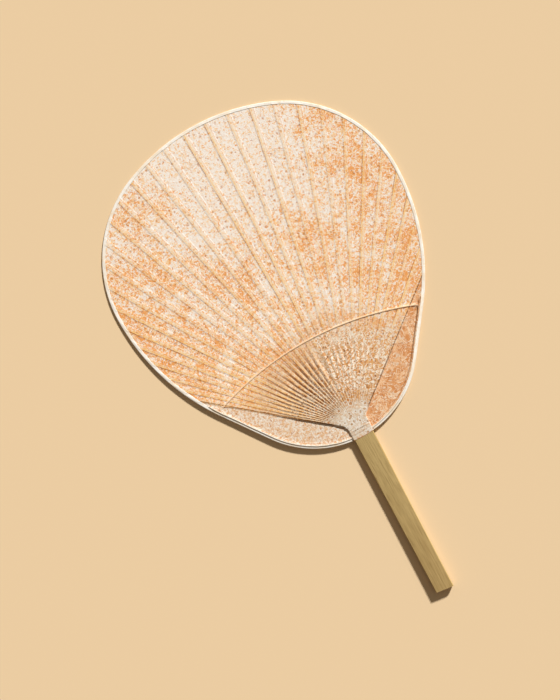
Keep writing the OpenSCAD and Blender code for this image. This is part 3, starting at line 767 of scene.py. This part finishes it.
    # Painted shadow: a dark brown line along each window's border beside the outermost ribs, cast by the raised rib
    # fan
    side = f.math("ABSOLUTE", window)
    side = mul(ramp(side, 0.03, 0.15), ramp(side, 0.6, 0.35), ramp(r, 14, 20),
               ramp(grain, 0.35, 0.5, 0.3, 0.9))
    colour = f.layers(
        colour,
        (ramp(window, 0.4, 0.9), 0.92, right),
        (side, DARK_BROWN),
        (ramp(window, -0.4, -0.9), 0.92, left))

    # The thread shows through. The brown line along the bow's inner foot is painted shadow, darker on the right
    bow_foot_shadow = mul(f.near_zero(add(f.attribute("bow_away"), -1.2), 0.6, 0.2), ramp(edge_away, 2.4, 3.0),
                     ramp(place[0], 30, 80, 0.4, 0.9))
    thread = mul(ramp(f.attribute("thread_away"), 0.6, 0.28), ramp(grain, 0.7, 0.5, 0.45, 0.85))
    colour = f.layers(
        colour,
        (bow_foot_shadow, ramp(grain, 0.35, 0.55, 0.5, 1.0), srgb(150, 92, 40)),
        (thread, srgb(248, 214, 176)))

    pulp = f.noise(p, 1 / 0.5, 3, 0.7)
    height = add(mul(pulp, 0.5), mul(grain, 0.8), mul(small, -0.3), mul(holes, zone, -0.5))
    f.relief(height, 0.0002, 0.9)
    return f.finish(colour, 0.85, Specular_IOR_Level=0.22, Sheen_Weight=0.06, Sheen_Roughness=0.6)


def fibre_finish():
    f = Finish("loose_fibres")
    pale = f.noise(f.place(), 1 / 2.0, 2)
    colour = f.layers(
        srgb(252, 242, 228),
        (f.ramp(f.attribute("tone"), 0.55, 0.6), srgb(222, 158, 104)),
        (f.ramp(pale, 0.4, 0.65, 0.0, 0.6), srgb(244, 220, 190)))
    return f.finish(colour, 0.85, Specular_IOR_Level=0.2)


def strip_finish():
    f = Finish("rim_paper")
    p = f.place()
    cloud, flecks, fuzz = f.noise(p, 1 / 9, 3), f.noise(p, 1 / 1.5, 2, 0.6, 0.5), f.noise(p, 1 / 0.5, 4, 0.7)
    colour = f.layers(
        srgb(252, 246, 236),
        (f.ramp(cloud, 0.4, 0.7), srgb(244, 228, 204)),
        (f.ramp(flecks, 0.56, 0.7), 0.45, srgb(240, 202, 156)))
    f.relief(fuzz, 0.0001, 0.6)
    return f.finish(colour, 0.85, Specular_IOR_Level=0.2)


def bamboo_finish():
    """Split bamboo: green-gold skin on the front, paler flesh where it is cut, and grain along the handle."""
    f = Finish("bamboo_strip")
    grain = f.noise(f.place((1 / 0.4, 1 / 34, 1 / 0.7), turn=HANDLE_LEAN), 1.0, 3, 0.6)
    broad = f.noise(f.place((1 / 3.5, 1 / 70, 1 / 2), turn=HANDLE_LEAN), 1.0, 2, 0.5)
    streak = f.noise(f.place((1 / 0.22, 1 / 12, 1 / 0.4), turn=HANDLE_LEAN), 1.0, 2, 0.5)
    patch = f.noise(f.place((1 / 7, 1 / 16, 1 / 5)), 1.0, 3, 0.6)
    place = f.split(f.place())
    by_edge = f.ramp(f.add(place[0], f.mul(place[1], -math.tan(HANDLE_LEAN))), -2.2, -5.5)
    skin = f.layers(
        srgb(184, 158, 104),
        (f.ramp(place[1], -70, -180), srgb(170, 140, 88)),
        (f.ramp(broad, 0.3, 0.7, 0.0, 0.35), srgb(186, 156, 98)),
        (f.ramp(patch, 0.5, 0.7, 0.0, 0.35), srgb(160, 132, 80)),
        (f.ramp(grain, 0.46, 0.6, 0.0, 0.6), srgb(200, 172, 116)),
        (f.ramp(streak, 0.52, 0.64, 0.0, 0.6), srgb(136, 108, 62)),
        (by_edge, f.ramp(streak, 0.5, 0.58), 0.35, srgb(134, 102, 56)))
    flesh = f.layers(
        srgb(196, 164, 104),
        (f.ramp(broad, 0.35, 0.65), srgb(214, 184, 124)),
        (f.ramp(grain, 0.5, 0.64, 0.0, 0.5), srgb(170, 132, 76)),
        (f.ramp(streak, 0.6, 0.7, 0.0, 0.45), srgb(142, 102, 54)))
    bundles, _, _ = f.spots(f.combine(place[0], place[2]), 0.6, 0.28, 0.8, 0.08)
    end = f.blend(bundles, srgb(206, 178, 122), srgb(118, 80, 42))
    normal = f.split(f.node("ShaderNodeNewGeometry").outputs["Normal"])
    is_skin = f.mul(f.ramp(normal[2], 0.8, 0.95), f.ramp(place[2], 4.2, 4.4))
    colour = f.layers(flesh, (is_skin, skin), (f.ramp(f.mul(normal[1], -1.0), 0.7, 0.9), end))
    f.relief(f.add(f.mul(grain, 0.6), f.mul(streak, 0.4)), 0.00006, 0.6)
    return f.finish(colour, f.ramp(broad, 0.3, 0.7, 0.4, 0.52), Specular_IOR_Level=0.35, Coat_Weight=0.08,
                    Coat_Roughness=0.35)


def rod_finish():
    f = Finish("whittled_rod")
    grain = f.noise(f.place((1 / 0.5, 1 / 0.5, 1 / 0.3)), 1.0, 3, 0.6)
    colour = f.blend(f.ramp(grain, 0.35, 0.65), srgb(206, 170, 110), srgb(228, 198, 140))
    f.relief(grain, 0.00005, 0.6)
    return f.finish(colour, 0.55)


def thread_finish():
    f = Finish("twisted_thread")
    ply = f.noise(f.place((1 / 0.25, 1 / 0.25, 1 / 0.2)), 1.0, 2, 0.6)
    colour = f.blend(f.ramp(ply, 0.35, 0.65), srgb(226, 196, 170), srgb(244, 222, 200))
    f.relief(ply, 0.00004, 0.8)
    return f.finish(colour, 0.9, Sheen_Weight=0.2)


def assign(piece, material):
    piece.data.materials.clear()
    piece.data.materials.append(material)


# ---- The pieces ----

front = washi_sheet("front_washi_sheet", 1, 232, True)
assign(front, washi_finish("front_washi"))
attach(front, "root")
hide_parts("front_paper")

back = washi_sheet("back_washi_sheet", -1, 190, False)
assign(back, washi_finish("back_washi"))
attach(back, "root")
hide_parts("back_paper")


# In metres: how high above the fan casts start, how far in from the edge the fold's start, how far in the strip's
# inside lies, how far the strip and the fibres stay off a sheet, and how far a fibre may bend
DROP, FIRST_CAST, INSIDE, STRIP_OFF, FIBRE_OFF, FIBRE_BEND = 0.03, 0.00035, 0.00008, 0.00002, 0.00003, 0.018
# How far the strip's inner edge wanders, as a share of its width
TORN = 0.34


class Growth(NodeBench):
    """A geometry tree with named inputs. Its result becomes a plain mesh, and the tree is removed."""

    def __init__(self, name):
        self.tree = bpy.data.node_groups.new(name, "GeometryNodeTree")
        self.tree.interface.new_socket("Geometry", in_out="INPUT", socket_type="NodeSocketGeometry")
        self.tree.interface.new_socket("Geometry", in_out="OUTPUT", socket_type="NodeSocketGeometry")
        self.start = self.node("NodeGroupInput")
        self.end = self.node("NodeGroupOutput")
        self.values = {}

    def ask(self, name, kind, value):
        socket = self.tree.interface.new_socket(name, in_out="INPUT", socket_type="NodeSocket" + kind)
        self.values[socket.identifier] = value
        return self.start.outputs[name]

    def grow(self, kind, sockets, out=0, **settings):
        return self.step("GeometryNode" + kind, out, sockets, **settings)

    def label(self, geometry, name, value, kind="FLOAT"):
        return self.grow("StoreNamedAttribute", {"Geometry": geometry, "Name": name, "Value": value},
                         data_type=kind, domain="POINT")

    def read(self, name, kind="FLOAT"):
        return self.grow("InputNamedAttribute", {"Name": name}, data_type=kind)

    def drop_on(self, sheet, xy, side):
        """Where a point meets a sheet when it comes down on its outer face. Gives height and whether it meets."""
        where = self.split(xy)
        n = self.node("GeometryNodeRaycast")
        self.feed(n.inputs["Target Geometry"], sheet)
        self.feed(n.inputs["Source Position"], self.combine(where[0], where[1], self.mul(side, DROP)))
        self.feed(n.inputs["Ray Direction"], self.combine(0.0, 0.0, self.mul(side, -1.0)))
        n.inputs["Ray Length"].default_value = 2 * DROP
        return self.split(n.outputs["Hit Position"])[2], n.outputs["Is Hit"]

    def run(self, seed, name, result, material):
        result = self.grow("SetShadeSmooth", {"Geometry": result})
        result = self.grow("RealizeInstances", {"Geometry": result})
        result = self.grow("SetMaterial", {"Geometry": result, "Material": material})
        self.feed(self.end.inputs[0], result)
        grown = seed.modifiers.new(name, "NODES")
        grown.node_group = self.tree
        for identifier, value in self.values.items():
            grown[identifier] = value
        evaluated = seed.evaluated_get(bpy.context.evaluated_depsgraph_get())
        mesh = bpy.data.meshes.new_from_object(evaluated)
        mesh.name = name
        piece = add_object(name, mesh)
        bpy.data.objects.remove(seed)
        bpy.data.node_groups.remove(self.tree)
        return piece


# Steps across the strip from each of its edges to the fold
FOLD = 9


def fold_rim_strip():
    """The strip folded over the edge and pressed on to both sheets, from one side of the handle to the other."""
    path = outline(0, fine=150)
    free = np.where(path[:, 1] < 12, np.abs(path[:, 0] - HANDLE_X) - NECK_W / 2, 9.0)
    path, free = path[free > STRIP_CLEAR], free[free > STRIP_CLEAR]
    along = np.gradient(path, axis=0)
    inward = np.column_stack([-along[:, 1], along[:, 0], 0 * along[:, 0]])
    inward /= np.linalg.norm(inward, axis=1)[:, None]
    seed = make_mesh("rim_path", metres(path[:, 0], path[:, 1], FACE_Z + 0 * path[:, 0]), [])
    seed.data.edges.add(len(path) - 1)
    seed.data.edges.foreach_set("vertices", np.column_stack(
        [np.arange(len(path) - 1), np.arange(1, len(path))]).ravel())
    seed.data.attributes.new("inward", "FLOAT_VECTOR", "POINT").data.foreach_set("vector", inward.ravel())
    paint(seed, "spare", np.clip(free - 0.9, 0.15, 0.6) / 1000)

    g = Growth("fold_rim_strip")
    width, thick = g.ask("Width", "Float", STRIP_W / 1000), g.ask("Thickness", "Float", STRIP_T / 1000)
    middle = g.ask("Middle plane", "Float", FACE_Z / 1000)
    sheets = [g.grow("ObjectInfo", {"Object": g.ask(n, "Object", o)}, "Geometry")
              for n, o in (("Front sheet", front), ("Back sheet", back))]
    line = g.grow("MeshToCurve", {"Mesh": g.start.outputs[0]})
    line = g.label(line, "base", g.grow("InputPosition", {}), "FLOAT_VECTOR")
    section = g.grow("CurvePrimitiveLine", {"End": (0.001, 0, 0)})
    section = g.grow("ResampleCurve", {"Curve": section, "Count": 4 * FOLD + 2})
    section = g.label(section, "step", g.grow("InputIndex", {}))
    section = g.grow("SetSplineCyclic", {"Geometry": section, "Cyclic": True})
    swept = g.grow("CurveToMesh", {"Curve": line, "Profile Curve": section, "Fill Caps": True})

    # The first half of the steps runs over the outside of the fold, and the second comes back along its inside
    k = g.read("step")
    outer = g.math("LESS_THAN", k, 2 * FOLD + 0.5)
    j = g.add(g.mul(outer, k), g.mul(g.less(1.0, outer), g.less(4.0 * FOLD + 1, k)))
    far = g.math("ABSOLUTE", g.less(j, FOLD))
    lip = g.math("GREATER_THAN", far, FOLD - 0.5)
    share = g.mul(g.math("MINIMUM", far, FOLD - 1.0), 1 / (FOLD - 1))
    base, into = g.read("base", "FLOAT_VECTOR"), g.read("inward", "FLOAT_VECTOR")
    wander = g.add(1.0, g.mul(g.less(g.noise(base, 130, 3, 0.6), 0.5), TORN))
    inset = g.add(g.mul(share, width, wander), g.mul(g.less(1.0, outer), INSIDE))
    lift_off = g.add(g.mul(outer, g.less(1.0, lip), thick), STRIP_OFF)
    spot = g.vector("ADD", base, g.vector("SCALE", into, g.math("MAXIMUM", inset, FIRST_CAST)))
    aside = g.vector("SCALE", g.vector("CROSS_PRODUCT", into, (0, 0, 1)), g.read("spare"))
    high, low = g.drop_on(sheets[0], spot, 1.0)[0], g.drop_on(sheets[1], spot, -1.0)[0]
    for near in (g.vector("ADD", spot, aside), g.vector("SUBTRACT", spot, aside)):
        high = g.math("MAXIMUM", high, g.drop_on(sheets[0], near, 1.0)[0])
        low = g.math("MINIMUM", low, g.drop_on(sheets[1], near, -1.0)[0])
    on_front, on_back = g.math("LESS_THAN", j, FOLD - 0.5), g.math("GREATER_THAN", j, FOLD + 0.5)
    level = g.add(g.mul(on_front, g.add(high, lift_off)), g.mul(on_back, g.less(low, lift_off)),
                  g.mul(g.less(g.less(1.0, on_front), on_back), middle))
    flat = g.split(g.vector("ADD", base, g.vector("SCALE", into, inset)))
    swept = g.grow("SetPosition", {"Geometry": swept, "Position": g.combine(flat[0], flat[1], level)})
    return g.run(seed, "folded_rim_strip", swept, strip_finish())


def lay_fibres(name, sheet, side, density, seed_number):
    """Long fibres of the pulp that lie loose on a sheet, more of them where the paper is thin."""
    seed = add_object(name + "_seed", sheet.data.copy())
    g = Growth(name)
    target = g.grow("ObjectInfo", {"Object": g.ask("Sheet", "Object", sheet)}, "Geometry")
    length, thick = g.ask("Length", "Float", 0.014), g.ask("Thickness", "Float", 0.00006)
    number, in_area = g.ask("Seed", "Int", seed_number), g.ask("Fibres in a square metre", "Float", density)
    points = g.grow("DistributePointsOnFaces", {
        "Mesh": g.start.outputs[0], "Density": g.mul(g.read("fibre_share"), in_area), "Seed": number})
    index = g.grow("InputIndex", {})
    points = g.label(points, "tone", g.step("FunctionNodeRandomValue", 1, {"ID": index, "Seed": number}))
    fibre = g.grow("CurvePrimitiveLine", {
        "Start": g.combine(g.mul(length, -0.5), 0.0), "End": g.combine(g.mul(length, 0.5), 0.0)})
    fibre = g.grow("ResampleCurve", {"Curve": fibre, "Count": 11})
    turn = g.step("FunctionNodeRandomValue", 0, {"Min": (0, 0, 0), "Max": (0, 0, 6.283), "Seed": number},
                  data_type="FLOAT_VECTOR")
    scale = g.step("FunctionNodeRandomValue", 1, {2: 0.4, 3: 1.2, "Seed": number})
    laid = g.grow("InstanceOnPoints", {"Points": points, "Instance": fibre, "Rotation": turn, "Scale": scale})
    laid = g.grow("RealizeInstances", {"Geometry": laid})
    at = g.grow("InputPosition", {})
    bend = g.step("ShaderNodeTexNoise", "Color", {
        "Vector": at, "W": g.mul(g.read("tone"), 40.0), "Scale": 90, "Detail": 1.0}, noise_dimensions="4D")
    pull = g.vector("MULTIPLY", g.vector("SUBTRACT", bend, (0.5, 0.5, 0.5)), (FIBRE_BEND, FIBRE_BEND, 0))
    laid = g.grow("SetPosition", {"Geometry": laid, "Offset": pull})
    level, meets = g.drop_on(target, at, side)
    flat = g.split(at)
    laid = g.grow("SetPosition", {
        "Geometry": laid, "Selection": meets, "Position": g.combine(flat[0], flat[1], g.add(level, FIBRE_OFF * side))})
    misses = g.step("FunctionNodeBooleanMath", 0, {0: meets}, operation="NOT")
    laid = g.grow("DeleteGeometry", {"Geometry": laid, "Selection": misses}, domain="POINT")
    round_ = g.grow("CurvePrimitiveCircle", {"Resolution": 3, "Radius": thick})
    laid = g.grow("CurveToMesh", {"Curve": laid, "Profile Curve": round_, "Fill Caps": True})
    return g.run(seed, name, laid, fibre_finish())


strip = fold_rim_strip()
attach(strip, "root")
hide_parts("rim_strip")

for name, sheet, side, density, number in (("front_fibres", front, 1.0, 44000.0, 4),
                                           ("back_fibres", back, -1.0, 20000.0, 9)):
    fibres = lay_fibres(name, sheet, side, density, number)
    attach(fibres, "root")

assign(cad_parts["split_bamboo"], bamboo_finish())
assign(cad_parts["bow"], rod_finish())
assign(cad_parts["weaving_thread"], thread_finish())

# ---- The table, the light and the camera ----

# The fan lies on the lower edge of its handle's flat back and on the top of its rim, so the table is tilted a little
TABLE_REACH, TABLE_GAP, RIM_GAP = 3000.0, 0.03, 0.01
REST_Y = -PARING_L - MIDDLE_Y
rim = np.array([v.co for v in strip.data.vertices]) * 1000
rim = rim[rim[:, 1] > 0]
slope = np.min((rim[:, 2] - RIM_GAP) / (rim[:, 1] - REST_Y))
corners = TABLE_REACH * np.array([(-1, -1), (1, -1), (1, 1), (-1, 1)])
table = make_mesh("plain_table", np.column_stack(
    [corners, slope * (corners[:, 1] - REST_Y) - TABLE_GAP]) / 1000, [(0, 1, 2, 3)])
assign(table, Finish("pale_table").finish(srgb(238, 209, 168), 0.8, Specular_IOR_Level=0.2))

world = bpy.data.worlds.new("soft_studio")
bpy.context.scene.world = world
world.use_nodes = True
fill = world.node_tree.nodes["Background"]
fill.inputs["Color"].default_value, fill.inputs["Strength"].default_value = (1.0, 0.86, 0.70, 1), 0.18

KEY_UP, KEY_SIDE, KEY_SOFTNESS = math.radians(34), math.radians(36.9), math.radians(5.7)
key_data = bpy.data.lights.new("key_lamp", "SUN")
key_data.energy, key_data.angle, key_data.color = 4.5, KEY_SOFTNESS, (1.0, 0.999, 0.99)
key_lamp = add_object("key_lamp", key_data)
key_way = Vector((math.cos(KEY_SIDE) * math.cos(KEY_UP), math.sin(KEY_SIDE) * math.cos(KEY_UP), math.sin(KEY_UP)))
key_lamp.location = key_way * 3
key_lamp.rotation_mode = "QUATERNION"
key_lamp.rotation_quaternion = key_way.to_track_quat("Z", "Y")

# The camera takes in 490 mm from 1500 mm above the fan, turned so that the handle points down and right
SENSOR, CAMERA_UP, TAKEN_IN, AIM_X, AIM_Y = 36, 1500, 490, -22.2, 18.2
FAN_TURN = math.atan2(0.4820, 0.8762)
camera_data = bpy.data.cameras.new("camera")
camera_data.sensor_width, camera_data.lens = SENSOR, SENSOR * CAMERA_UP / TAKEN_IN
camera_data.clip_start, camera_data.clip_end = 0.01, 20
camera = add_object("camera", camera_data)
camera.location = (AIM_X / 1000, AIM_Y / 1000, (CAMERA_UP + FACE_Z) / 1000)
camera.rotation_euler = (0, 0, -FAN_TURN)
bpy.context.scene.camera = camera
bpy.context.scene.view_settings.view_transform = "Standard"
